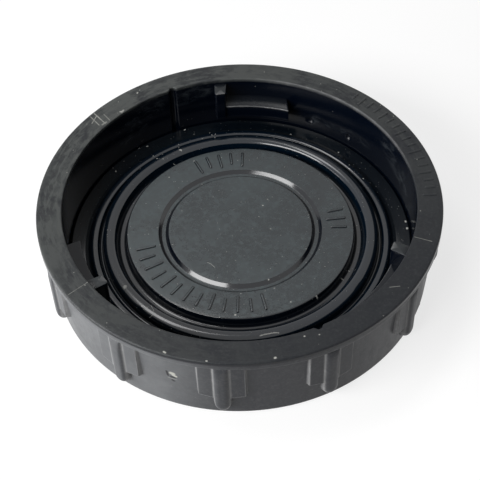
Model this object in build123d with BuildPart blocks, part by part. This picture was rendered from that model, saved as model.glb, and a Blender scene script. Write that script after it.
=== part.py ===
"""Bayonet cap of a fluid tank with its rubber diaphragm, lying on its closed face, open side up.

Lengths are millimetres and +Z is up. The origin is the centre of the closed outer face, which
lies on the floor. Bearings count in degrees from the front, -Y, and grow towards +X.
"""

import os
from math import cos, radians, sin

from build123d import *

os.makedirs("parts", exist_ok=True)

# Cap shell, outside
RIM_R = 33.1           # outer radius of the band around the rim
HEIGHT = 15.25         # closed face to open rim
TAPER = 1.45           # the wall is this much smaller in radius at the closed face
BAND = 1.9             # height of the band
BAND_STEP = 0.8        # the band stands out from the wall by this much
BAND_TOP_ROUND = 0.35
BAND_LOW_ROUND = 0.35
BASE_ROUND = 0.6

# Grip ribs, and the raised pad behind each
RIBS = 12
FIRST_RIB = -6.5       # bearing
RIB_WIDE = 2.8
RIB_ROUND = 1.0
RIB_PROUD = 0.1        # rib crest beyond the band
RIB_FOOT = 2.1         # lowest point of a rib
PAD_WIDE = 7.7
PAD_IN = 0.4           # pad face behind the band
PAD_FOOT = 5.85        # lower edge at the pad's outer corners
PAD_DROP = 0.8         # the lower edge falls this much towards the rib
PAD_CORNER = 0.6

# Cap shell, inside
RIM_LAND = 4.15        # width of the flat rim
BORE_DRAFT = 0.1       # the bore is this much tighter at the seat
BORE_ROUND = 0.25
ROOF = 2.0             # thickness of the closed face
AIR = 2.35             # from the closed face up to the seat of the diaphragm
LEDGE = 2.4            # width of that seat
FUSE = 0.5             # inner features reach this far into the wall

# Bayonet lugs, and the stop at the end of each
LUGS = 3
LUG_START = 161.2      # bearing of the free end at the bore
LUG_SWEEP = 21.7
LUG_LEAD = 2.2         # degrees by which the tip of the free end runs ahead
LUG_REACH = 2.4        # tip of the lug from the bore at the rim
LUG_GAP = 2.8          # between flange and lug, where the neck's lug slides in
LUG_THICK = 2.65       # at the tip
LUG_SLOPE = 0.7        # the upper face rises this much towards the wall
LUG_ROUND = 0.3
STOP_SWEEP = 4.2
STOP_LEAN = 1.3        # degrees by which the stop narrows to its tip
STOP_REACH = 2.7
STOP_DOWN = 1.0        # below the rim
STOP_ROUND = 0.7

# Vent slots down the bore, and two small round dimples in its wall
VENT_AT = (22.5, 202.5)
VENT_R = 0.6
VENT_DEEP = 0.7
DIMPLE_AT = (136.0, 152.0)
DIMPLE_UP = 2.2        # above the flange
DIMPLE_R = 0.7
DIMPLE_DEEP = 0.4

# Rubber diaphragm, from its rim inwards
FLANGE_GAP = 0.1       # between flange and bore
FLANGE_THICK = 0.95
BEAD_IN = 4.35         # from the flange's edge to the low bead
BEAD_WIDE = 0.9
BEAD_HIGH = 0.55       # above the flange
FOLD_IN = 2.75         # from the bead to the fold
FOLD_WIDE = 1.5
FOLD_HIGH = 1.7        # above the flange
FOLD_LEG = 0.5         # rubber on each side of the hollow in the fold
RING_IN = 2.6          # from the fold to the edge of the flat ring
RING_HIGH = 2.2        # above the flange
VALLEY_HIGH = 0.25     # bottom of the valley between ring and fold, above the flange
GROOVE_IN = 6.15       # from the ring's edge to the groove around the middle disc
GROOVE_WIDE = 1.7
GROOVE_DEEP = 0.65
FLANK = 0.45           # sideways run of each slope
SHEET = 1.0            # thickness of the middle
FLANGE_ROUND = 0.3
FOLD_ROUND = 0.55
RING_ROUND = 0.4
SOFT_ROUND = 0.2       # all other corners of the rubber

bore_r = RIM_R - RIM_LAND
seat_bore_r = bore_r - BORE_DRAFT
wall_top_r = RIM_R - BAND_STEP
base_r = RIM_R - TAPER
root_r = bore_r + FUSE
band_z = HEIGHT - BAND
seat_z = ROOF + AIR
flange_z = seat_z + FLANGE_THICK
lug_z = flange_z + LUG_GAP
lug_top_z = lug_z + LUG_THICK
stop_top_z = HEIGHT - STOP_DOWN
FRONT = -90            # polar angle of bearing 0
upward = (Align.CENTER, Align.CENTER, Align.MIN)


def outline(corners):
    """Flat closed face from corners, each two coordinates and a rounding."""
    with BuildSketch() as face:
        with BuildLine():
            Polyline([(x, y) for x, y, _ in corners], close=True)
        make_face()
        for x, y, rounding in corners:
            if rounding:
                fillet(face.vertices().sort_by_distance((x, y))[0], rounding)
    return face.sketch


def turned(radius, degrees):
    """Point of the plan at a radius, turned from +X."""
    return radius * cos(radians(degrees)), radius * sin(radians(degrees))


# Grip rib at +X with a round foot, its crest upright and its outer edges rounded
rib_top_z = band_z + BAND_LOW_ROUND
half_rib = RIB_WIDE / 2
with BuildPart() as rib:
    with BuildSketch(Plane.YZ.offset(root_r)):
        with BuildLine():
            Polyline((-half_rib, RIB_FOOT + half_rib), (-half_rib, rib_top_z),
                     (half_rib, rib_top_z), (half_rib, RIB_FOOT + half_rib))
            ThreePointArc((half_rib, RIB_FOOT + half_rib), (0, RIB_FOOT),
                          (-half_rib, RIB_FOOT + half_rib))
        make_face()
    extrude(amount=RIM_R + RIB_PROUD - root_r)
    fillet(faces().sort_by(Axis.X)[-1].edges().sort_by(Axis.Z)[:-1], RIB_ROUND)

# Raised pad at +X behind a rib, its lower edge a shallow V and its face upright
half_pad = PAD_WIDE / 2
with BuildPart() as pad:
    with BuildSketch(Plane.YZ.offset(root_r)):
        add(outline([(-half_pad, rib_top_z, 0), (-half_pad, PAD_FOOT, PAD_CORNER),
                     (0, PAD_FOOT - PAD_DROP, 0), (half_pad, PAD_FOOT, PAD_CORNER),
                     (half_pad, rib_top_z, 0)]))
    extrude(amount=RIM_LAND)
    Cylinder(RIM_R - PAD_IN, HEIGHT, align=upward, mode=Mode.INTERSECT)

# Bayonet lug turning from +X, its open-side face sloping down to the tip
lug_tip_r = bore_r - LUG_REACH
with BuildPart() as lug:
    with BuildSketch(Plane.XZ):
        add(outline([(lug_tip_r, lug_z, 0), (root_r, lug_z, 0), (root_r, lug_top_z + LUG_SLOPE, 0),
                     (lug_tip_r, lug_top_z, LUG_ROUND)]))
    revolve(axis=Axis.Z)
    with BuildSketch():
        add(outline([(*turned(RIM_R, 0), 0), (*turned(bore_r, 0), 0),
                     (*turned(lug_tip_r, -LUG_LEAD), 0), (*turned(lug_tip_r, LUG_SWEEP), 0),
                     (*turned(RIM_R, LUG_SWEEP), 0)]))
    extrude(amount=HEIGHT, mode=Mode.INTERSECT)

# Upright stop turning from +X that closes the end of a lug, one inner corner rounded
stop_tip_r = bore_r - STOP_REACH
with BuildPart() as stop:
    with BuildSketch(Plane.XY.offset(lug_z)):
        add(outline([(*turned(root_r, 0), 0), (*turned(bore_r, 0), 0),
                     (*turned(stop_tip_r, STOP_LEAN), 0),
                     (*turned(stop_tip_r, STOP_SWEEP), STOP_ROUND),
                     (*turned(root_r, STOP_SWEEP), 0)]))
    extrude(amount=stop_top_z - lug_z)

# Moulded cap: cup with band, ribs and pads, bayonet lugs, vents and dimples
ledge_r = seat_bore_r - LEDGE
with BuildPart() as cap_shell:
    with BuildSketch(Plane.XZ):
        add(outline([(0, 0, 0), (base_r, 0, BASE_ROUND), (wall_top_r, band_z, 0),
                     (RIM_R, band_z, BAND_LOW_ROUND), (RIM_R, HEIGHT, BAND_TOP_ROUND),
                     (bore_r, HEIGHT, BORE_ROUND), (seat_bore_r, seat_z, 0), (ledge_r, seat_z, 0),
                     (ledge_r, ROOF, 0), (0, ROOF, 0)]))
    revolve(axis=Axis.Z)
    with PolarLocations(0, RIBS, start_angle=FRONT + FIRST_RIB):
        add(rib.part)
        add(pad.part)
    with PolarLocations(0, LUGS, start_angle=FRONT + LUG_START):
        add(lug.part)
    with PolarLocations(0, LUGS, start_angle=FRONT + LUG_START + LUG_SWEEP):
        add(stop.part)
    for at in VENT_AT:
        with Locations(Pos(0, 0, seat_z)):
            with PolarLocations(bore_r + VENT_DEEP - VENT_R, 1, start_angle=FRONT + at):
                Cylinder(VENT_R, HEIGHT, align=upward, mode=Mode.SUBTRACT)
    for at in DIMPLE_AT:
        with Locations(Pos(0, 0, flange_z + DIMPLE_UP)):
            with PolarLocations(seat_bore_r + DIMPLE_DEEP, 1, start_angle=FRONT + at):
                Cylinder(DIMPLE_R, DIMPLE_DEEP + FUSE, rotation=(0, -90, 0), align=upward,
                         mode=Mode.SUBTRACT)

cap_shell.part.label = "cap shell"
export_step(cap_shell.part, "parts/cap_shell.step")

# Rubber diaphragm: grooved middle, one tall fold, a low bead and a flat flange
flange_r = seat_bore_r - FLANGE_GAP
bead_r = flange_r - BEAD_IN
fold_r = bead_r - FOLD_IN
ring_r = fold_r - RING_IN
groove_r = ring_r - GROOVE_IN
bead, fold, groove = BEAD_WIDE / 2, FOLD_WIDE / 2, GROOVE_WIDE / 2
bead_z = flange_z + BEAD_HIGH
fold_z = flange_z + FOLD_HIGH
ring_z = flange_z + RING_HIGH
valley_z = flange_z + VALLEY_HIGH
groove_z = ring_z - GROOVE_DEEP
with BuildPart() as rubber_diaphragm:
    with BuildSketch(Plane.XZ):
        add(outline([
            (0, ring_z - SHEET, 0),
            (ring_r + FLANK / 2 - SHEET, ring_z - SHEET, 0),
            (ring_r + FLANK - SHEET, seat_z, 0),
            (fold_r - fold - FLANK + FOLD_LEG, seat_z, 0),
            (fold_r - fold + FOLD_LEG, fold_z - SHEET, 0),
            (fold_r + fold - FOLD_LEG, fold_z - SHEET, 0),
            (fold_r + fold + FLANK - FOLD_LEG, seat_z, 0),
            (flange_r, seat_z, 0),
            (flange_r, flange_z, FLANGE_ROUND),
            (bead_r + bead + FLANK, flange_z, SOFT_ROUND),
            (bead_r + bead, bead_z, SOFT_ROUND),
            (bead_r - bead, bead_z, SOFT_ROUND),
            (bead_r - bead - FLANK, flange_z, SOFT_ROUND),
            (fold_r + fold + FLANK, flange_z, SOFT_ROUND),
            (fold_r + fold, fold_z, FOLD_ROUND),
            (fold_r - fold, fold_z, FOLD_ROUND),
            (fold_r - fold - FLANK, valley_z, SOFT_ROUND),
            (ring_r + FLANK, valley_z, SOFT_ROUND),
            (ring_r, ring_z, RING_ROUND),
            (groove_r + groove, ring_z, SOFT_ROUND),
            (groove_r + groove - FLANK, groove_z, SOFT_ROUND),
            (groove_r - groove + FLANK, groove_z, SOFT_ROUND),
            (groove_r - groove, ring_z, SOFT_ROUND),
            (0, ring_z, 0)]))
    revolve(axis=Axis.Z)

rubber_diaphragm.part.label = "rubber diaphragm"
export_step(rubber_diaphragm.part, "parts/rubber_diaphragm.step")
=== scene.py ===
# %% [markdown]
# # A bayonet tank cap with its rubber diaphragm
#
# The cap closes the filler neck of a small fluid tank. It lies on its closed face, so we look
# into it: a moulded black shell with grip ribs outside and bayonet lugs inside, and on its
# ledge a black rubber diaphragm with folds that let the air in the tank breathe.
# The CAD model gives the sizes. Blender adds the soft edges, the small marks and the finishes.

# %% Load the frame
import math

import bpy
import numpy as np
from mathutils import Matrix, Vector


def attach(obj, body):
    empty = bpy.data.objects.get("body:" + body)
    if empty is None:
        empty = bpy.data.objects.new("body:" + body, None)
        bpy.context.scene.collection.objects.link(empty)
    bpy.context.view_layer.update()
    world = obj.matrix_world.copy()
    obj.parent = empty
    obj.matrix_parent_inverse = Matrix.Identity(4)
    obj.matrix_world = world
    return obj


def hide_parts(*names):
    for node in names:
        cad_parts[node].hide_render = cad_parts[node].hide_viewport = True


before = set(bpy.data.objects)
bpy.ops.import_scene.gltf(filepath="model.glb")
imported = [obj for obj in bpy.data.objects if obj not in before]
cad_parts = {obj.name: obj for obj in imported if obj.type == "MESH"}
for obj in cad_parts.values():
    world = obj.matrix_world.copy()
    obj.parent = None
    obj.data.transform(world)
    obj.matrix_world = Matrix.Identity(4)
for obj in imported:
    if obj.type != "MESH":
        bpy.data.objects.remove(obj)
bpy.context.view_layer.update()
scene = bpy.context.scene
print("nodes:", sorted(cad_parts))

# %% [markdown]
# ## Where the camera stands
#
# A camera can be placed by eye, but a round part fixes it better: the rim is a circle, and how
# far its picture is from an ellipse says how near the lens was. The numbers below were solved
# from the rim, the bore and the foot of the wall. The camera looks at the middle of the rim
# and is then turned by three small angles.

# %% Camera
MM = 0.001
HEIGHT = 15.25
CAMERA_FAR = 194.888       # mm from the middle of the rim
CAMERA_UP = 46.9118        # degrees above the rim's plane
CAMERA_PAN, CAMERA_TILT, CAMERA_ROLL = 0.0298, -2.0815, 2.2193
LENS_PX, PICTURE_PX, SENSOR = 1194.0, 480, 36.0


def turned(vector, axis, degrees):
    return Matrix.Rotation(math.radians(degrees), 3, axis) @ vector


up_angle = math.radians(CAMERA_UP)
stand = CAMERA_FAR * Vector((0, -math.cos(up_angle), math.sin(up_angle)))
ahead, aside = -stand.normalized(), Vector((1, 0, 0))
above = aside.cross(ahead)
ahead, aside = turned(ahead, above, CAMERA_PAN), turned(aside, above, CAMERA_PAN)
ahead, above = turned(ahead, aside, CAMERA_TILT), turned(above, aside, CAMERA_TILT)
aside, above = turned(aside, ahead, CAMERA_ROLL), turned(above, ahead, CAMERA_ROLL)
camera_data = bpy.data.cameras.new("camera")
camera_data.sensor_width = SENSOR
camera_data.lens = LENS_PX / PICTURE_PX * SENSOR
camera_data.clip_start, camera_data.clip_end = 0.01, 10
camera = bpy.data.objects.new("camera", camera_data)
camera.matrix_world = Matrix((aside, above, -ahead)).transposed().to_4x4()
camera.matrix_world.translation = (stand + Vector((0, 0, HEIGHT))) * MM
scene.collection.objects.link(camera)
scene.camera = camera
print("lens", round(camera_data.lens, 2), "mm")

# %% [markdown]
# ## Rings, profiles and lofts
#
# Nearly everything on this cap is either turned about the axis or swept round it. Spin and
# Screw modifiers could turn it, but they can't follow ribs or lugs. So one tool makes all of
# it: a loft that joins closed rings of points, with a single point at each end. Profiles are
# drawn as corners with a rounding, as a mould maker would dimension them.

# %% Round the corners of a profile
def rounded(corners, longest, closed=False, arc_steps=5):
    """Points (n, 2) along straight lines through corners (x, y, rounding).

    A corner becomes the arc that touches both of its sides: it starts rounding * tan(half the
    turn) before the corner. Straight stretches are divided into steps of at most `longest`.
    """
    points = np.array([c[:2] for c in corners], float)
    last = len(points)
    stretches = []
    for i, (x, y, rounding) in enumerate(corners):
        if rounding == 0 or (not closed and i in (0, last - 1)):
            stretches.append(np.array([[x, y]], float))
            continue
        here = points[i]
        back = points[i - 1] - here
        forth = points[(i + 1) % last] - here
        back, forth = back / np.linalg.norm(back), forth / np.linalg.norm(forth)
        half = math.acos(np.clip(back @ forth, -1, 1)) / 2
        inward = (back + forth) / np.linalg.norm(back + forth)
        centre = here + inward * rounding / math.sin(half)
        first = here + back * rounding / math.tan(half) - centre
        final = here + forth * rounding / math.tan(half) - centre
        t = np.linspace(0, 1, arc_steps + 1)[:, None]
        arc = first * (1 - t) + final * t
        stretches.append(centre + rounding * arc / np.linalg.norm(arc, axis=1, keepdims=True))
    path = np.concatenate(stretches + ([stretches[0][:1]] if closed else []))
    pieces = []
    for start, end in zip(path[:-1], path[1:]):
        steps = max(1, math.ceil(np.linalg.norm(end - start) / longest))
        t = np.linspace(0, 1, steps, endpoint=False)[:, None]
        pieces.append(start * (1 - t) + end * t)
    return np.concatenate(pieces + ([] if closed else [path[-1:]]))


# %% Loft rings into a closed solid
def loft(rings):
    """Closed solid over rings (rows, columns, 3): its points, its quads and its end fans.

    Row i, column j is joined to its right and upper neighbours, the last column to the first.
    The first and last rings close on their own mean point.
    """
    rows, columns = rings.shape[:2]
    points = np.concatenate([rings.reshape(-1, 3), rings[:1].mean(1), rings[-1:].mean(1)])
    i, j = np.meshgrid(np.arange(rows - 1), np.arange(columns), indexing="ij")
    k = (j + 1) % columns
    quads = np.stack([i * columns + j, i * columns + k, (i + 1) * columns + k,
                      (i + 1) * columns + j], -1).reshape(-1, 4)
    j = np.arange(columns)
    k = (j + 1) % columns
    start, end, top = rows * columns, rows * columns + 1, (rows - 1) * columns
    fans = np.concatenate([np.stack([k, j, np.full_like(j, start)], 1),
                           np.stack([top + j, top + k, np.full_like(j, end)], 1)])
    return points, quads, fans


def around(radius, bearing, height):
    """Points at a radius and height; the bearing counts from the front, -Y, towards +X."""
    a = np.radians(bearing)
    radius, a, height = np.broadcast_arrays(radius, a, height)
    return np.stack([radius * np.sin(a), -radius * np.cos(a), height], -1)


# %% Put solids into one mesh
SHARP_EDGE = 50            # degrees; flatter edges are shaded smooth


def piece(name, solids):
    """One object in metres from lofts in mm."""
    faces, base = [], 0
    for points, quads, fans in solids:
        faces += (quads + base).tolist() + (fans + base).tolist()
        base += len(points)
    mesh = bpy.data.meshes.new(name)
    mesh.from_pydata((np.concatenate([s[0] for s in solids]) * MM).tolist(), [], faces)
    mesh.shade_smooth()
    mesh.set_sharp_from_angle(angle=math.radians(SHARP_EDGE))
    mesh.update()
    made = bpy.data.objects.new(name, mesh)
    scene.collection.objects.link(made)
    mesh.calc_loop_triangles()
    print(name, "triangles", len(mesh.loop_triangles), "invalid", mesh.validate())
    return made


# %% [markdown]
# ## The outer skin of the shell
#
# The real cap is one injection moulding. Its wall leans in a little towards the closed face
# so that it leaves the mould, while the crests of the grip ribs stand upright. We could join
# ribs to a cup with booleans, but every edge of a moulding is soft, and booleans leave hard
# ones. A height field is simpler: for each bearing and height, take the highest of wall, pad
# and rib, and blend where they meet.

# %% Sizes of the shell
RIM_R, BAND_R = 33.1, 32.3
TICK_RISE = 0.12
RIM_Z = HEIGHT - TICK_RISE
BASE_R, BAND_Z, BASE_ROUND = 31.65, 13.35, 0.6
BORE_R, SEAT_BORE_R, SEAT_Z = 28.95, 28.85, 4.35
LEDGE_R, ROOF = 26.45, 2.0
RIBS, FIRST_RIB = 12, -6.5
RIB_WIDE, RIB_ROUND, RIB_CREST, RIB_FOOT, RIB_NOSE, RIB_TOP = 2.8, 1.1, 33.2, 2.0, 1.5, 13.7
PAD_WIDE, PAD_R, PAD_FOOT, PAD_DROP = 7.7, 32.7, 5.85, 0.8
SOFT_JOIN = 0.28           # ribs and pads blend into the wall over this height
# The paler line along the edges of pads and ribs is a painted highlight.
EDGE_GLINT = 0.16          # how far the paler line along their edges reaches


def ramp(x, low, high):
    """Goes smoothly from 0 at low to 1 at high, by 3 t^2 - 2 t^3."""
    t = np.clip((x - low) / (high - low), 0, 1)
    return t * t * (3 - 2 * t)


def higher(a, b, blend):
    """The larger of a and b, rounded over where they differ by less than `blend`."""
    near = np.maximum(blend - np.abs(a - b), 0) / blend
    return np.maximum(a, b) + near * near * blend / 4


# %% Wall, pad and rib as heights
# The nearness to an edge of a pad or rib sets the painted highlight line along it.
def outer_radius(wall, along, z):
    """Radius of the outside, and how near an edge of a pad or rib is, from 0 to 1.

    `along` is the way round from the nearest rib, in mm. Pad: its face radius inside a box whose
    foot is a shallow V, fading over 0.3 mm at its edges. Rib: distance d inside a slot with a
    long round foot; the crest falls by round - sqrt(round^2 - (round - d)^2) near the slot's
    edge. Nearness: exp(-(distance / glint)^2) to the outline of either.
    """
    foot = PAD_FOOT - PAD_DROP * (1 - np.abs(along) / (PAD_WIDE / 2))
    inside = np.minimum(PAD_WIDE / 2 - np.abs(along), (z - foot) * 0.98)
    skin = wall + np.maximum(PAD_R - wall, 0) * ramp(inside, -0.1, 0.2)
    half = RIB_WIDE / 2
    low = np.minimum(z - (RIB_FOOT + half * RIB_NOSE), 0) / RIB_NOSE
    d = np.minimum(half - np.hypot(along, low), RIB_TOP - z)
    fall = RIB_ROUND - np.sqrt(RIB_ROUND ** 2 - np.clip(RIB_ROUND - d, 0, RIB_ROUND) ** 2)
    rib = RIB_CREST - fall - np.maximum(-d, 0) * 9
    below_band = z < RIB_TOP - 0.4
    pad_glint_line = np.exp(-((inside - 0.1) / EDGE_GLINT) ** 2) * (np.abs(along) > half)
    rib_glint_line = np.exp(-((d - 0.12) / EDGE_GLINT) ** 2)
    return higher(skin, rib, SOFT_JOIN), np.maximum(pad_glint_line, rib_glint_line) * below_band


# %% Columns crowd where ribs and pads have their edges
half_pitch = math.pi * RIM_R / RIBS
steps = np.r_[0:2.0:0.125, 2.0:3.4:0.35, 3.4:4.4:0.12, 4.4:half_pitch - 0.2:0.5]
along_period = np.r_[-half_pitch, -steps[:0:-1], steps]
bearings = (FIRST_RIB + np.arange(RIBS)[:, None] * 360 / RIBS
            + np.degrees(along_period / RIM_R)[None]).ravel()
along = np.tile(along_period, RIBS)
print("columns", len(bearings))

# %% Rows of the outside, from the closed face to the band
floor_rows = np.array([[11, 0], [20, 0], [27, 0], [30, 0]])
base_corner = rounded([(0, 0, 0), (BASE_R, 0, BASE_ROUND), (BASE_R + 0.035, 0.7, 0)], 50,
                      arc_steps=4)
wall_z = np.r_[0.9, 1.4, np.linspace(1.9, 3.6, 12), np.linspace(3.9, 4.7, 3),
               np.linspace(4.82, 6.14, 12), np.linspace(6.5, 13.15, 8)]
wall_rows = np.stack([BASE_R + (BAND_R - BASE_R) * wall_z / BAND_Z, wall_z], 1)
band_rows = np.array([[32.32, 13.28], [32.5, 13.34], [32.78, 13.4], [32.98, 13.48],
                      [33.08, 13.6], [RIM_R, 13.74], [RIM_R, 14.2], [RIM_R, 14.65]])

# %% Rows of the rim, the bore and the seat
rim_rows = rounded([(RIM_R, 14.7, 0), (RIM_R, RIM_Z, 0.3), (29.25, RIM_Z, 0),
                    (BORE_R, RIM_Z, 0.14), (BORE_R, 14.9, 0)], 0.6, arc_steps=5)
bore_z = np.r_[14.4:8.3:-0.8, 8.3:6.7:-0.16, 6.4, 5.7, 5.2, SEAT_Z]
bore_draft = (SEAT_BORE_R - BORE_R) / (HEIGHT - SEAT_Z)
bore_rows = np.stack([BORE_R + bore_draft * (HEIGHT - bore_z), bore_z], 1)
seat_rows = np.array([[LEDGE_R, SEAT_Z], [LEDGE_R, ROOF], [14, ROOF], [2, ROOF]])
profile = np.concatenate([floor_rows, base_corner[1:-1], wall_rows, band_rows, rim_rows[1:-1],
                          bore_rows, seat_rows])
print("rows", len(profile), "triangles", 2 * len(profile) * len(bearings))

# %% Raise the ribs and pads
row_r, row_z = profile[:, :1], profile[:, 1:]
radius = np.repeat(row_r, len(bearings), 1)
height = np.repeat(row_z, len(bearings), 1)
in_bore = (np.arange(len(profile)) >= len(profile) - len(seat_rows) - len(bore_rows))[:, None]
ribbed = ~in_bore & (height > BASE_ROUND) & (height < RIB_TOP + 0.05)
shaped, outline = outer_radius(radius, along[None], height)
radius = np.where(ribbed, shaped, radius)
outline = np.where(ribbed, outline, 0)
print("ribs stand out to", round(radius[ribbed].max(), 2), "mm")

# %% [markdown]
# ## Vent slots and dimples in the bore
#
# Two half-round slots run down the bore so that the tank can breathe, and they nick the edge
# of the rim. Two small dimples are left by pins of the mould. They could be cut with round
# bars, but they too are only changes of the radius, so they go into the same grid and leave no
# seams.

# %% Shape the vents and dimples
VENTS, VENT_R, VENT_DEEP = (22.5, 202.5), 0.85, 0.6
DIMPLES, DIMPLE_Z, DIMPLE_R, DIMPLE_DEEP = (136.0, 152.0), 7.5, 0.7, 0.4


def apart(bearing):
    """Millimetres round the bore from a bearing to each column."""
    return ((bearings - bearing + 180) % 360 - 180)[None] * math.pi / 180 * BORE_R


above_seat = in_bore & (height > SEAT_Z - 0.01) & (row_r > LEDGE_R + 0.5)
on_rim = (row_z > 14.8) & (row_r < 32)
vent_share = np.where(on_rim | above_seat, 1 - ramp(row_r, 29.2, 31.5), 0)
for at in VENTS:
    radius = radius + VENT_DEEP * (1 - ramp(np.abs(apart(at)), 0.15, VENT_R)) * vent_share
for at in DIMPLES:
    gap = np.hypot(apart(at), height - DIMPLE_Z) / DIMPLE_R
    radius = radius + np.where(above_seat, DIMPLE_DEEP * (1 - ramp(gap, 0.45, 1.05)), 0)
shell_skin = loft(around(radius, bearings[None], height))
print("bore at the vents", round(radius[above_seat].max(), 2), "mm")

# %% [markdown]
# ## Bayonet lugs and stops
#
# Three lugs hold the cap down on the neck, and an upright stop at one end of each ends the
# turn. Boxes bent to the bore would do, but a lug is better swept: a rectangle of wall and tip
# carried round the axis, whose free end runs ahead at the tip, as the moving core of the mould
# needs. A stop is a small plan drawn up to a height.

# %% Sizes of lugs and stops
LUG_STARTS, LUG_SWEEP, LUG_LEAD = (161.2, 281.2, 41.2), 21.7, 2.2
LUG_LONG, LUG_RINGS = 11.0, 30
ROOT_R, LUG_TIP, LUG_Z, LUG_TOP, LUG_RISE = 29.45, 26.55, 8.1, 10.75, 0.7
STOP_SWEEP, STOP_LEAN, STOP_TIP_SWEEP, STOP_TIP, STOP_TOP = 4.2, 0.8, 5.0, 26.25, 14.25
STOP_RINGS = 7
SOFT_END = 0.12


def soft_ends(edge):
    """Insets and steps of the rings that round an end over: a quarter circle of radius edge."""
    a = np.radians([0, 30, 60, 90])
    return edge * (1 - np.sin(a)), edge * (1 - np.cos(a))


def inset(loop, amount):
    """Moves the points of a loop (n, 2) towards its middle by about `amount`."""
    toward = loop.mean(0) - loop
    return loop + amount * toward / np.linalg.norm(toward, axis=1, keepdims=True)


# %% Sweep a lug
def lug(start):
    """Section (radius, height) carried from `start` over the sweep.

    Bearing = start + sweep * s - lead * (1 - s) * (bore - radius) / (bore - tip), s from 0 to 1.
    """
    section = rounded([(LUG_TIP, LUG_Z, 0.12), (ROOT_R, LUG_Z, 0),
                       (ROOT_R, LUG_TOP + LUG_RISE, 0), (LUG_TIP, LUG_TOP, 0.28)],
                      0.6, closed=True, arc_steps=5)
    insets, ahead_by = soft_ends(SOFT_END)
    shares = np.r_[ahead_by / LUG_LONG, np.linspace(0.03, 1.05, LUG_RINGS)]
    rings = []
    for share, cut in zip(shares, np.r_[insets, np.zeros(LUG_RINGS)]):
        loop = inset(section, cut) if cut else section
        lead = LUG_LEAD * (1 - share) * (BORE_R - loop[:, 0]) / (BORE_R - LUG_TIP)
        rings.append(around(loop[:, 0], start + LUG_SWEEP * share - lead, loop[:, 1]))
    return loft(np.array(rings)[::-1])


# %% Draw up a stop
def stop(start):
    """Plan of a stop, turned to its bearing, carried up from the lug's underside."""
    def corner(r, degrees, rounding):
        a = math.radians(degrees)
        return r * math.cos(a), r * math.sin(a), rounding

    plan = rounded([corner(ROOT_R, 0, 0), corner(ROOT_R, STOP_SWEEP, 0),
                    corner(STOP_TIP, STOP_TIP_SWEEP, 0.4), corner(STOP_TIP, STOP_LEAN, 0.25),
                    corner(BORE_R, 0, 0)], 0.5, closed=True, arc_steps=7)
    insets, rise = soft_ends(SOFT_END)
    levels = np.r_[LUG_Z + rise, np.linspace(LUG_Z + 0.6, STOP_TOP - 0.6, STOP_RINGS),
                   STOP_TOP - rise[::-1]]
    rings = []
    for z, cut in zip(levels, np.r_[insets, np.zeros(STOP_RINGS), insets[::-1]]):
        loop = inset(plan, cut) if cut else plan
        bearing = start + np.degrees(np.arctan2(loop[:, 1], loop[:, 0]))
        rings.append(around(np.hypot(loop[:, 0], loop[:, 1]), bearing, z))
    return loft(np.array(rings))


# %% [markdown]
# ## Raised ticks
#
# Moulded scales are common on such parts: short bars one or two tenths of a millimetre high,
# with soft top edges that catch the light. Bump could fake them, but the exported mesh would
# lose them, so each is a small closed solid that reaches a little into its carrier.

# %% Plain raised ticks
TICK_SINK = 0.15           # a tick starts this far inside what carries it


def tick(bearing, inner, outer, wide, base, rise):
    """A bar lying along a radius, a slot in plan, its top edge rounded over."""
    middle, reach, half = (inner + outer) / 2, (outer - inner) / 2, wide / 2
    slot = rounded([(-reach, -half, half * 0.9), (reach, -half, half * 0.9),
                    (reach, half, half * 0.9), (-reach, half, half * 0.9)], 0.5, True, 4)
    rings = []
    for z, cut in ((-TICK_SINK, 0), (0.45 * rise, 0), (0.85 * rise, 0.3), (rise, 0.62)):
        loop = slot * np.array([1 - cut * half / reach, 1 - cut])
        plan = np.stack([middle + loop[:, 0], loop[:, 1]], 1)
        turn = bearing + np.degrees(np.arctan2(plan[:, 1], plan[:, 0]))
        rings.append(around(np.hypot(plan[:, 0], plan[:, 1]), turn, base + z))
    return loft(np.array(rings))


# %% Join the shell
rim_ticks = [tick(b, 30.4 if i % 3 else 29.9, 32.2, 0.42, RIM_Z, TICK_RISE)
             for i, b in enumerate(np.arange(88.0, 139.0, 3.1))]
lugs = [lug(start) for start in LUG_STARTS]
stops = [stop(start + LUG_SWEEP) for start in LUG_STARTS]
cap_shell = piece("cap_moulding", [shell_skin] + lugs + stops + rim_ticks)

# %% [markdown]
# ## The rubber diaphragm
#
# It is a moulded sheet of rubber: a middle disc with a groove, a step down into a valley, one
# tall soft fold, a low bead and a flat flange that seals against the neck. A sheet with a
# Solidify modifier would give one thickness all over, but the real one is thick under its
# disc. So its whole section is drawn, out along the underside and back along the top, and
# turned about the axis.

# %% Section of the diaphragm
FLANGE_Z, BEAD_Z, FOLD_Z, RING_Z, VALLEY_Z, GROOVE_Z = 5.3, 6.2, 7.35, 7.5, 5.55, 6.95
SHEET = 1.0
lower = [(0.4, RING_Z - SHEET, 0), (18.2, RING_Z - SHEET, 0), (18.5, SEAT_Z, 0),
         (21.15, SEAT_Z, 0), (21.6, FOLD_Z - SHEET, 0.2), (22.15, FOLD_Z - SHEET, 0.2),
         (22.6, SEAT_Z, 0)]
flange_and_bead = [(28.75, SEAT_Z, 0), (28.75, FLANGE_Z, 0.3), (26.25, FLANGE_Z, 0.15),
                   (25.6, FLANGE_Z + 0.12, 0.5), (25.05, BEAD_Z, 0.6), (24.0, BEAD_Z, 0.6),
                   (23.65, FLANGE_Z, 0.2), (23.3, FLANGE_Z, 0.2)]
fold_and_valley = [(23.1, FOLD_Z - 0.4, 0.5), (22.5, FOLD_Z, 1.2), (21.15, FOLD_Z, 0.93),
                   (20.35, VALLEY_Z, 0.25), (19.4, VALLEY_Z, 0.45)]
ring_and_disc = [(19.1, RING_Z, 0.3), (13.73, RING_Z, 0.12), (13.18, GROOVE_Z, 0.18),
                 (12.57, GROOVE_Z, 0.18), (12.02, RING_Z, 0.12), (0.4, RING_Z, 0)]
section = rounded(lower + flange_and_bead + fold_and_valley + ring_and_disc, 1.1, arc_steps=6)
print("points round the section", len(section))

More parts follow.
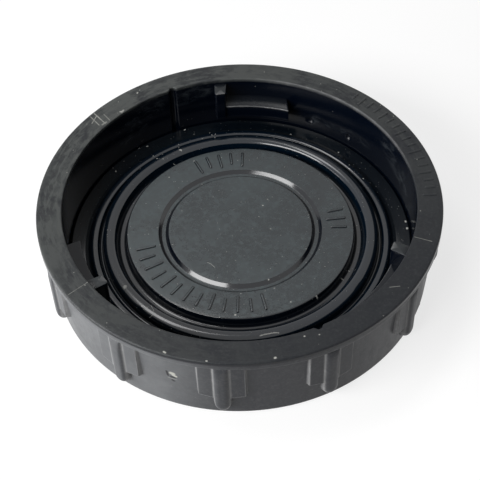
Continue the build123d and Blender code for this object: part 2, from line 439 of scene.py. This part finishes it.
# %% Turn it, and join the diaphragm
each_degree = np.arange(0, 360, 1.0)
diaphragm_skin = loft(around(section[:, :1], each_degree[None], section[:, 1:]))
ring_ticks = [tick(b, 15.1 if i % 2 else 14.5, 17.9, 0.45, RING_Z, 0.2)
              for i, b in enumerate(np.r_[283:373:7.4, 88:103:6.6, 177:206:7.0])]
diaphragm = piece("diaphragm_rubber_skin", [diaphragm_skin] + ring_ticks)

# %% [markdown]
# ## Node groups for the finishes
#
# Four effects are used by both materials: fine grain, broad smudges, loose dust and single
# scratches. They could be copied into each material, but a node group with named inputs is
# built once and placed with its own values. All of them read Object coordinates, which are
# metres here, so sizes are given in millimetres and turned into a texture scale inside.

# %% Helpers for node trees
def node(tree, kind, inputs=(), **settings):
    """A shader node with its settings, its inputs linked from sockets or set to values."""
    made = tree.nodes.new("ShaderNode" + kind)
    for name, value in settings.items():
        setattr(made, name, value)
    for key, value in dict(inputs).items():
        if isinstance(value, bpy.types.NodeSocket):
            tree.links.new(value, made.inputs[key])
        else:
            made.inputs[key].default_value = value
    return made


def maths(tree, operation, a, b=0.5, c=0.5, clamp=False):
    made = node(tree, "Math", {0: a, 1: b, 2: c}, operation=operation, use_clamp=clamp)
    return made.outputs[0]


def vector_maths(tree, operation, a, b=(0.0, 0.0, 0.0), output=0):
    return node(tree, "VectorMath", {0: a, 1: b}, operation=operation).outputs[output]


def spread(tree, value, low, high, to_low=0.0, to_high=1.0):
    """Map Range that eases from to_low at low to to_high at high."""
    made = node(tree, "MapRange", {"Value": value, "From Min": low, "From Max": high,
                                   "To Min": to_low, "To Max": to_high},
                interpolation_type="SMOOTHSTEP")
    return made.outputs["Result"]


# %% An empty group
def new_group(name, inputs, output):
    """An empty node group with float inputs (name: default) and Vector first; one output."""
    tree = bpy.data.node_groups.new(name, "ShaderNodeTree")
    tree.interface.new_socket("Vector", in_out="INPUT", socket_type="NodeSocketVector")
    for label, default in inputs.items():
        kind = "NodeSocketVector" if isinstance(default, tuple) else "NodeSocketFloat"
        socket = tree.interface.new_socket(label, in_out="INPUT", socket_type=kind)
        socket.default_value = default
    tree.interface.new_socket(output, in_out="OUTPUT", socket_type="NodeSocketFloat")
    return tree, tree.nodes.new("NodeGroupInput").outputs, tree.nodes.new("NodeGroupOutput").inputs


# %% Grain and smudges
PER_METRE = 1000.0         # millimetres in a metre, for texture scales
grain, have, give = new_group("fine grain", {"Size mm": 0.5, "Detail": 4.0}, "Height")
noise = node(grain, "TexNoise", {
    "Vector": have["Vector"], "Scale": maths(grain, "DIVIDE", PER_METRE, have["Size mm"]),
    "Detail": have["Detail"], "Roughness": 0.6})
grain.links.new(noise.outputs[0], give["Height"])

smudges, have, give = new_group("smudges", {"Size mm": 8.0, "From": 0.4, "To": 0.7}, "Mask")
noise = node(smudges, "TexNoise", {
    "Vector": have["Vector"], "Scale": maths(smudges, "DIVIDE", PER_METRE, have["Size mm"]),
    "Detail": 5.0, "Roughness": 0.65, "Distortion": 0.4})
smudges.links.new(spread(smudges, noise.outputs[0], have["From"], have["To"]), give["Mask"])

# %% Dust specks
# A speck sits in the middle of a share of the cells of a Voronoi texture; each cell's random
# colour says whether it has one, how large it is and how pale.
dust, have, give = new_group("dust specks", {"Spacing mm": 1.5, "Share": 0.1, "Radius": 0.1},
                             "Mask")
cells = node(dust, "TexVoronoi", {
    "Vector": have["Vector"], "Scale": maths(dust, "DIVIDE", PER_METRE, have["Spacing mm"]),
    "Randomness": 1.0})
luck = node(dust, "SeparateColor", {"Color": cells.outputs["Color"]}).outputs
size = maths(dust, "MULTIPLY", have["Radius"], spread(dust, luck[1], 0.0, 1.0, 0.35, 1.3))
dot = spread(dust, maths(dust, "DIVIDE", cells.outputs["Distance"], size), 0.5, 1.0, 1.0, 0.0)
chosen = maths(dust, "LESS_THAN", luck[0], have["Share"])
pale = maths(dust, "MULTIPLY_ADD", maths(dust, "POWER", luck[2], 2.5), 0.85, 0.15)
dust.links.new(maths(dust, "MULTIPLY", maths(dust, "MULTIPLY", dot, chosen), pale), give["Mask"])

# %% One scratch
# The mask is 1 near the straight run between two points: a place is projected onto the run,
# the share of the run is kept between 0 and 1, and its distance from there is measured.
scratch, have, give = new_group(
    "scratch", {"From": (0.0, 0.0, 0.0), "To": (0.0, 0.0, 0.0), "Width mm": 0.15}, "Mask")
run = vector_maths(scratch, "SUBTRACT", have["To"], have["From"])
reach = vector_maths(scratch, "SUBTRACT", have["Vector"], have["From"])
run_squared = vector_maths(scratch, "DOT_PRODUCT", run, run, output="Value")
share = maths(scratch, "DIVIDE", vector_maths(scratch, "DOT_PRODUCT", reach, run, output="Value"),
              maths(scratch, "MAXIMUM", run_squared, 1e-9), clamp=True)
nearest = node(scratch, "VectorMath", {0: run, "Scale": share}, operation="SCALE").outputs[0]
gap = vector_maths(scratch, "LENGTH", vector_maths(scratch, "SUBTRACT", reach, nearest),
                   output="Value")
wide = maths(scratch, "MULTIPLY", have["Width mm"], MM)
scratch.links.new(spread(scratch, maths(scratch, "DIVIDE", gap, wide), 0.3, 1.0, 1.0, 0.0),
                  give["Mask"])
print("groups:", [g.name for g in bpy.data.node_groups])


# %% Place groups in a material
def placed(tree, group, vector, **values):
    """A group node; keys write spaces as underscores."""
    made = node(tree, "Group", node_tree=group)
    tree.links.new(vector, made.inputs["Vector"])
    for key, value in values.items():
        made.inputs[key.replace("_", " ")].default_value = value
    return made.outputs[0]


def new_material(name):
    made = bpy.data.materials.new(name)
    made.use_nodes = True
    tree = made.node_tree
    vector = node(tree, "TexCoord").outputs["Object"]
    return made, tree, tree.nodes["Principled BSDF"], vector


# %% Combine masks
def added(tree, *masks):
    total = masks[0]
    for one in masks[1:]:
        total = maths(tree, "ADD", total, one, clamp=True)
    return total


def times(tree, *factors):
    product = factors[0]
    for one in factors[1:]:
        product = maths(tree, "MULTIPLY", product, one)
    return product


def between(tree, amount, low, high):
    """low where the mask is 0, high where it is 1."""
    return maths(tree, "MULTIPLY_ADD", amount, high - low, low)


def layered(tree, ground, layers):
    """Lays each (mask, colour) over what is below it, the first over the ground colour."""
    below = (*ground, 1)
    for amount, colour in layers:
        made = node(tree, "Mix", {0: amount, 6: below, 7: (*colour, 1)}, data_type="RGBA")
        below = made.outputs[2]
    return below


# %% Masks that a mesh carries
def vertex_data(made):
    """Places in mm and normals of the vertices, each (n, 3)."""
    place = np.empty(len(made.data.vertices) * 3, np.float32)
    normal = np.empty_like(place)
    made.data.vertices.foreach_get("co", place)
    made.data.vertex_normals.foreach_get("vector", normal)
    return place.reshape(-1, 3) / MM, normal.reshape(-1, 3)


def paint(made, masks):
    """Stores one number per vertex and mask, for the materials to read."""
    for name, values in masks.items():
        made.data.attributes.new(name, "FLOAT", "POINT").data.foreach_set(
            "value", np.asarray(values, np.float32))
        print(made.name, name, "covers", round(100 * float(np.mean(values)), 1), "% of the points")


def painted(tree, name):
    return node(tree, "Attribute", attribute_name=name).outputs["Fac"]


# %% Marks at known places
def spot(bearing, radius, height):
    """A place on the part in metres, for a scratch's ends."""
    return tuple(around(radius, bearing, height)[()] * MM)


def marks(tree, where, places):
    """Sum of marks: bearing, radius and height in mm of each end, then the width in mm."""
    return added(tree, *[placed(tree, scratch, where, From=spot(*mark[:3]), To=spot(*mark[3:6]),
                                Width_mm=mark[6]) for mark in places])


def from_above(tree, where, places):
    """The same for marks seen from above: bearing and radius of each end, then the width."""
    plan = vector_maths(tree, "MULTIPLY", where, (1.0, 1.0, 0.0))
    return marks(tree, plan, [(a, ra, 0, b, rb, 0, w) for a, ra, b, rb, w in places])


def along_ring(tree, where, stretch):
    """Coordinates (way round / stretch, radius, height), for streaks that follow the turning."""
    x, y, z = node(tree, "SeparateXYZ", {"Vector": where}).outputs
    angle = maths(tree, "ARCTAN2", x, maths(tree, "MULTIPLY", y, -1.0))
    radius = vector_maths(tree, "LENGTH", where, output="Value")
    return node(tree, "CombineXYZ", {"X": maths(tree, "MULTIPLY", angle, 0.031 / stretch),
                                     "Y": radius, "Z": z}).outputs[0]


# %% [markdown]
# ## Moulded plastic of the shell
#
# Black plastic is nearly all reflection. The bore is as glossy as its mould; the rim and the
# outside are dulled by handling. Some colour is painted light: the left of the wall is painted
# paler and its right-facing flanks darker, the rim's wear is paler towards the back left, partly
# real wear and partly a painted sheen, pale lines on rounded edges in the bore and along pads
# and ribs are painted highlights, and dark strokes at the chip are painted shade. A material for
# each would leave hard borders, so there is one, and masks on the mesh say which is which.
# The scratches and crumbs lie where they do on the real cap.

# %% Masks of the shell
place, normal = vertex_data(cap_shell)
x, y, z = place.T
far_out = np.hypot(x, y)
bearing = np.degrees(np.arctan2(x, -y))
wall = ramp(far_out, 31.2, 31.5) * (z < 14.6) * (z > 0.3)
raised = ramp(far_out, 32.5, 32.9) * (z < 13.3)
rightward = (x * normal[:, 1] - y * normal[:, 0]) / far_out
# Painted highlights: pale lines on the bore's rim edge at the far right, on the lug tips and on
# the stop tops.
inner_rim_glint = ((z > 14.95) * (far_out < 29.2) * ramp(bearing, 95, 115)
                  * (1 - ramp(bearing, 160, 178)))
lug_tip_glint = (np.abs(z - LUG_TOP) < 0.16) * (far_out < LUG_TIP + 0.15)
stop_top_glint = (z > STOP_TOP - 0.08) * (far_out < STOP_TIP + 0.12)
inner_tops = (far_out < BORE_R - 0.15) * (z > LUG_Z - 0.1) * ramp(normal[:, 2], 0.3, 0.8)
wall_edge_glint = np.zeros(len(place))
wall_edge_glint[:outline.size] = outline.ravel()
paint(cap_shell, {
    "outside": wall,
    "rim": ramp(z, 14.7, 15.05),
    # edge: painted highlights on rounded edges in the bore.
    "edge": np.minimum(0.7 * inner_rim_glint + lug_tip_glint + stop_top_glint, 1),
    # outline: painted highlight along the edges of pads and ribs.
    "outline": wall_edge_glint,
    "lugs": inner_tops * (0.15 + 0.85 * (z > STOP_TOP - 0.3)),
    # Painted light and shade: the left of the wall is paler where the lamps on the left light it,
    # less so on pads, ribs and right-facing flanks.
    "wall_painted_left_light": (wall * (1 - ramp(bearing, -26, 0)) * ramp(bearing, -140, -112)
              * (1 - 0.3 * raised) * (1 - 0.7 * ramp(rightward, 0.15, 0.5))),
    # back: the rim's wear is paler towards the back left, partly real wear and partly a painted
    # sheen from the skylight's side.
    "back": 0.5 + 0.35 * (y - x) / far_out})

# %% Plastic
plastic, tree, shader, where = new_material("shell_plastic")
shader.inputs["Specular IOR Level"].default_value = 0.22
outside, rim, edge, outline, back, on_lugs, wall_painted_left_light = [
    painted(tree, name) for name in ("outside", "rim", "edge", "outline", "back", "lugs", "wall_painted_left_light")]
handled = added(tree, rim, outside)
scuffs = placed(tree, smudges, where, Size_mm=1.6, From=0.45, To=0.75)
clouds = placed(tree, smudges, where, Size_mm=7.0, From=0.35, To=0.7)
rubbed = placed(tree, smudges, along_ring(tree, where, 4.0), Size_mm=0.6, From=0.42, To=0.7)
grit = placed(tree, smudges, where, Size_mm=0.5, From=0.45, To=0.75)
specks = times(tree, placed(tree, dust, where, Spacing_mm=0.9, Share=0.3, Radius=0.12),
               between(tree, rim, 0.2, 0.8))
upright = vector_maths(tree, "MULTIPLY", where, (1.0, 1.0, 0.06))
streaks = placed(tree, grain, upright, Size_mm=0.7)
smears = placed(tree, smudges, along_ring(tree, where, 2.0), Size_mm=1.3, From=0.42, To=0.75)
print("nodes in the plastic so far", len(tree.nodes))

# %% Marks on the rim
scratches = from_above(tree, where, [
    (230.5, 29.4, 229.2, 32.7, 0.16), (232.3, 30.0, 231.0, 32.6, 0.14),
    (228.4, 29.3, 227.6, 31.2, 0.1), (233.0, 31.3, 229.5, 31.9, 0.13),
    (231.5, 29.6, 229.8, 29.5, 0.22), (223.0, 29.2, 222.0, 29.4, 0.25),
    (69.9, 29.2, 69.7, 32.0, 0.07), (305, 29.0, 305.5, 32.7, 0.05),
    (48.3, 30.0, 50.4, 31.1, 0.09)])
crumbs = from_above(tree, where, [
    (-21.4, 32.62, -20.9, 32.7, 0.2), (-10.0, 32.8, -9.8, 32.8, 0.16),
    (7.65, 32.54, 7.8, 32.5, 0.25), (17.2, 29.9, 17.3, 29.9, 0.17),
    (21.3, 30.45, 21.4, 30.45, 0.13), (-146.7, 31.5, -146.5, 31.4, 0.2),
    (-137.2, 29.4, -136.8, 29.5, 0.2)])

# %% Smears in the bore, and the chip in the wall
smeared = marks(tree, where, [
    (-136, 28.9, 9.5, -150, 28.9, 12.8, 3.4), (-160, 28.9, 12.2, -169, 28.9, 13.6, 2.4),
    (98, 28.9, 8.0, 116, 28.9, 12.5, 3.2), (128, 28.9, 8.5, 150, 28.9, 8.0, 1.6)])
chip = marks(tree, where, [
    (-20.5, 32.1, 9.15, -19.9, 32.1, 9.1, 0.5), (-20.0, 32.1, 8.7, -19.2, 32.1, 8.5, 0.34),
    (-21.6, 32.1, 7.7, -19.0, 32.1, 7.6, 0.12)])
# Painted shade: dark strokes at the chip stand in for the shade of a hollow the mesh doesn't have.
chip_painted_shade = marks(tree, where, [
    (-21.75, 32.1, 9.4, -21.5, 32.1, 8.3, 0.28), (-20.6, 32.1, 8.1, -19.6, 32.1, 8.1, 0.3),
    (-20.3, 32.1, 7.2, -20.0, 32.1, 7.1, 0.36)])

# %% Colours of the shell, from the plastic up to the dust
base = layered(tree, (0.0010, 0.0022, 0.0054), [
    (rim, (0.0090, 0.0105, 0.0135)),
    (times(tree, on_lugs, between(tree, clouds, 0.5, 1.0)), (0.03, 0.034, 0.036)),
    (outside, (0.022, 0.0235, 0.028)),
    # Painted light: the left of the wall paler, as if lit from the left.
    (times(tree, wall_painted_left_light, between(tree, clouds, 0.6, 0.9)), (0.131, 0.136, 0.142)),
    # Rim wear paler towards the back left: partly real wear, partly painted sheen.
    (times(tree, added(tree, rubbed, clouds), rim, between(tree, back, 0.02, 0.78)),
     (0.082, 0.088, 0.084)),
    (times(tree, rim, grit, 0.32), (0.05, 0.052, 0.055)),
    (times(tree, outside, added(tree, scuffs, grit), 0.2), (0.14, 0.14, 0.14)),
    (times(tree, smeared, smears, 0.6), (0.036, 0.042, 0.048)),
    # Painted highlight: pale lines on rounded edges in the bore, varied by the scuffs.
    (times(tree, edge, between(tree, scuffs, 0.35, 0.75)), (0.22, 0.22, 0.22)),
    # Painted highlight along the edges of pads and ribs.
    (times(tree, outline, between(tree, scuffs, 0.6, 0.9)), (0.3, 0.3, 0.3)),
    (times(tree, scratches, rim, between(tree, scuffs, 0.45, 0.95)), (0.4, 0.4, 0.37)),
    # Painted shade at the chip.
    (chip_painted_shade, (0.012, 0.012, 0.014)),
    (chip, (0.42, 0.42, 0.38)),
    (added(tree, specks, times(tree, crumbs, rim)), (0.42, 0.42, 0.39))])
tree.links.new(base, shader.inputs["Base Color"])

# %% Gloss and bumps of the shell
rough = maths(tree, "MULTIPLY_ADD", handled, 0.26, between(tree, streaks, 0.08, 0.22))
rough = maths(tree, "MULTIPLY_ADD", on_lugs, 0.25, rough)
rough = maths(tree, "MULTIPLY_ADD", times(tree, handled, scuffs), 0.12, rough)
tree.links.new(rough, shader.inputs["Roughness"])
fine = placed(tree, grain, where, Size_mm=0.35, Detail=3.0)
bumps = maths(tree, "MULTIPLY_ADD", fine, handled, times(tree, streaks, 0.5))
bump = node(tree, "Bump", {"Height": bumps, "Strength": 0.35, "Distance": 0.00004})
tree.links.new(bump.outputs[0], shader.inputs["Normal"])
print("nodes in the plastic", len(tree.nodes))

# %% [markdown]
# ## Rubber of the diaphragm
#
# Moulded rubber this clean has a satin gloss: long soft highlights run round its folds, and
# the flats mirror the pale room dimly. Dust settles on the flats and leaves the slopes bare.
# A shader could work out the slope from the normal, but a mask from the mesh's own normals can
# also spare the folds and lie thicker on the left. Thicker and paler on the left, where the lamps
# stand, is painted light, and thinner on the flange at the foot of the bore wall is painted shade.
# A few fibres and crumbs lie on top.

# %% Masks of the rubber
place, normal = vertex_data(diaphragm)
x, y, z = place.T
far_out = np.hypot(x, y)
level = ramp(normal[:, 2], 0.93, 0.995)
# Painted shade: less film on the flange, at the foot of the bore wall.
flange_painted_shade = 1 - 0.85 * ramp(far_out, 25, 26)
off_folds = 1 - (far_out > 19) * (far_out < 25.3)
# Painted light: more film towards the left, where the lamps stand.
rubber_painted_left_light = 1 - (0.12 + 0.2 * ramp(far_out, 10, 15)) * x / np.maximum(far_out, 5)
paint(diaphragm, {
    "flat": level * flange_painted_shade * off_folds * rubber_painted_left_light,
    "folds": ramp(far_out, 19.6, 20.4) * (1 - ramp(far_out, 25.3, 25.8))})

# %% Rubber
rubber, tree, shader, where = new_material("diaphragm_rubber")
shader.inputs["Specular IOR Level"].default_value = 0.6
flat, folds = painted(tree, "flat"), painted(tree, "folds")
clouds = placed(tree, smudges, where, Size_mm=9.0, From=0.3, To=0.75)
film = placed(tree, smudges, where, Size_mm=0.9, From=0.45, To=0.8)
dust_film_and_painted_light = times(tree, flat, maths(tree, "MULTIPLY_ADD", clouds, 0.4,
                                  between(tree, film, 0.33, 1.08)))
large_specks = placed(tree, dust, where, Spacing_mm=1.6, Share=0.35, Radius=0.1)
small_specks = placed(tree, dust, where, Spacing_mm=0.5, Share=0.5, Radius=0.14)
specks = added(tree, large_specks, times(tree, small_specks, 0.8))
print("nodes in the rubber so far", len(tree.nodes))


# %% Lint on the rubber
def on_rubber(places):
    """Adds the height of the rubber's upper side to marks of bearing and radius."""
    top = section[np.argmax(section[:, 0]) + 1:][::-1]
    return [(a, ra, np.interp(ra, *top.T), b, rb, np.interp(rb, *top.T), w)
            for a, ra, b, rb, w in places]


lint = marks(tree, where, on_rubber([
    (-142.0, 24.5, -140.7, 22.5, 0.13), (-142.5, 21.8, -146.9, 20.5, 0.12),
    (-152.5, 21.7, -152.2, 21.9, 0.26), (-155.4, 25.6, -152.6, 22.6, 0.07),
    (-169.1, 26.0, -170.0, 22.5, 0.1), (-168.6, 23.4, -171.0, 24.6, 0.12),
    (-37.5, 9.15, -33.3, 9.1, 0.06), (-33.3, 9.1, -27.5, 9.45, 0.06),
    (6.3, 22.5, 8.6, 22.4, 0.12), (8.6, 22.4, 12.0, 22.4, 0.12),
    (12.0, 22.4, 13.8, 22.6, 0.12), (-46.3, 22.5, -43.6, 22.0, 0.09),
    (-43.6, 22.0, -43.2, 20.4, 0.08), (-43.3, 21.4, -40.3, 22.0, 0.08),
    (-40.2, 23.1, -39.5, 22.7, 0.08), (-44.2, 22.7, -43.3, 21.4, 0.07)]))

# %% Crumbs on the rubber
crumbs = marks(tree, where, on_rubber([
    (-58.8, 22.2, -58.5, 22.3, 0.42), (-4.2, 18.3, -4.0, 18.3, 0.2),
    (38.0, 19.1, 38.4, 19.2, 0.2), (56.6, 19.3, 57.6, 19.5, 0.17),
    (63.9, 19.6, 64.4, 20.6, 0.17), (25.2, 17.8, 25.3, 17.8, 0.15),
    (20.6, 12.1, 20.9, 12.1, 0.15), (140.9, 6.4, 141.2, 6.4, 0.16),
    (-160.5, 28.3, -160.3, 28.3, 0.2), (-144.5, 28.0, -144.3, 28.0, 0.2),
    (-141.6, 28.6, -141.4, 28.6, 0.2), (-127.4, 27.4, -127.3, 27.4, 0.18),
    (-154.8, 18.0, -154.7, 18.0, 0.14), (-136.1, 17.4, -136.0, 17.4, 0.12),
    (93.9, 28.3, 94.2, 28.3, 0.22), (90.8, 28.3, 91.0, 28.3, 0.26),
    (136.5, 26.5, 136.7, 26.5, 0.14), (117.9, 24.8, 118.1, 24.8, 0.14),
    (93.5, 19.9, 93.7, 19.9, 0.14), (157.8, 26.3, 158.0, 26.3, 0.14)]))

# %% Colours, gloss and bumps of the rubber
base = layered(tree, (0.0010, 0.0026, 0.0058), [
    (folds, (0.0008, 0.0045, 0.0100)),
    # Dust film, partly real dust and partly painted light: paler on the left, thinner on the
    # flange.
    (dust_film_and_painted_light, (0.026, 0.039, 0.043)),
    (added(tree, specks, times(tree, lint, 0.75), crumbs), (0.45, 0.45, 0.42))])
tree.links.new(base, shader.inputs["Base Color"])
rough = maths(tree, "MULTIPLY_ADD", dust_film_and_painted_light, 0.28, between(tree, folds, 0.13, 0.15))
tree.links.new(rough, shader.inputs["Roughness"])
bump = node(tree, "Bump", {"Height": placed(tree, grain, where, Size_mm=0.5, Detail=3.0),
                           "Strength": 0.12, "Distance": 0.00003})
tree.links.new(bump.outputs[0], shader.inputs["Normal"])
print("nodes in the rubber", len(tree.nodes))

# %% [markdown]
# ## Joining the frame
#
# Each new piece stands for the plain CAD node of the same part. It rides on the one body that
# a part without joints has, takes the node's place, and names the material slot of the
# record. The hidden node gets the same material, so that it never shows a stand-in.

# %% Ride, replace and name the slots
for made, node_name, slot, finish in (
        (cap_shell, "cap_shell", "shell_plastic", plastic),
        (diaphragm, "rubber_diaphragm", "diaphragm_rubber", rubber)):
    made.data.materials.append(finish)
    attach(made, "root")
    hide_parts(node_name)
    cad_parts[node_name].data.materials.clear()
    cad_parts[node_name].data.materials.append(finish)
    print(made.name, "stands for", node_name)

# %% [markdown]
# ## Floor and room
#
# The cap lies in a white room. Strong light on a white floor would wash out the cap, so the
# floor and the room are plain white only to the camera and in reflections, by the Light Path
# node. To everything else they give a weak even light, and the floor keeps the cap's shadow.

# %% Room
AMBIENT = 0.08             # strength of the room on what isn't a mirror or the camera
FLOOR_COLOUR, FLOOR_GLOW, FLOOR_HALF = 0.3, 0.75, 1.5


def seen_directly(tree):
    """1 for camera, glossy and transmission rays, 0 for the rest."""
    path = node(tree, "LightPath").outputs
    return added(tree, path["Is Camera Ray"], path["Is Glossy Ray"], path["Is Transmission Ray"])


world = bpy.data.worlds.new("white room")
world.use_nodes = True
tree = world.node_tree
background = tree.nodes["Background"]
background.inputs["Color"].default_value = (1, 1, 1, 1)
tree.links.new(between(tree, seen_directly(tree), AMBIENT, 1.0), background.inputs["Strength"])
scene.world = world
print("room strength", AMBIENT)

# %% Floor
corners = [(-FLOOR_HALF, -FLOOR_HALF, 0), (FLOOR_HALF, -FLOOR_HALF, 0),
           (FLOOR_HALF, FLOOR_HALF, 0), (-FLOOR_HALF, FLOOR_HALF, 0)]
floor_mesh = bpy.data.meshes.new("floor")
floor_mesh.from_pydata(corners, [], [(0, 1, 2, 3)])
floor = bpy.data.objects.new("floor", floor_mesh)
scene.collection.objects.link(floor)
paper, tree, shader, where = new_material("white_paper")
shader.inputs["Base Color"].default_value = (FLOOR_COLOUR, FLOOR_COLOUR, FLOOR_COLOUR, 1)
shader.inputs["Roughness"].default_value = 0.9
shader.inputs["Specular IOR Level"].default_value = 0.1
shader.inputs["Emission Color"].default_value = (1, 1, 1, 1)
tree.links.new(times(tree, seen_directly(tree), FLOOR_GLOW), shader.inputs["Emission Strength"])
floor.data.materials.append(paper)
print("floor", 2 * FLOOR_HALF, "m square")

# %% [markdown]
# ## Light
#
# The highlights on the folds say where the light comes from. A window at the left front
# draws the short bright arcs in the groove, a skylight lifts the rim, and a broad low light
# brightens the left of the wall. Spots or a sun would draw hard points in the gloss; area
# lamps give the long soft lines of a studio.

# %% Soft lights
LAMPS = [  # name, place in m, sides in m, watts, lean in degrees
    ("window", (-0.275, -0.231, 0.271), (0.36, 0.15), 1.9, 13),
    ("skylight", (-0.156, 0.131, 0.457), (0.3, 0.12), 0.62, 0),
    ("low light", (-0.524, -0.150, 0.077), (0.4, 0.16), 2.7, 0)]
for name, at, sides, watts, lean in LAMPS:
    lamp_data = bpy.data.lights.new(name, "AREA")
    lamp_data.shape, lamp_data.energy = "RECTANGLE", watts
    lamp_data.size, lamp_data.size_y = sides
    lamp = bpy.data.objects.new(name, lamp_data)
    aim = (-Vector(at)).to_track_quat("-Z", "Y").to_matrix()
    leaning = aim @ Matrix.Rotation(math.radians(lean), 3, "Z")
    lamp.matrix_world = Matrix.Translation(at) @ leaning.to_4x4()
    scene.collection.objects.link(lamp)
    print(name, watts, "W from", round(Vector(at).length, 2), "m")
scene.view_settings.view_transform = "Standard"
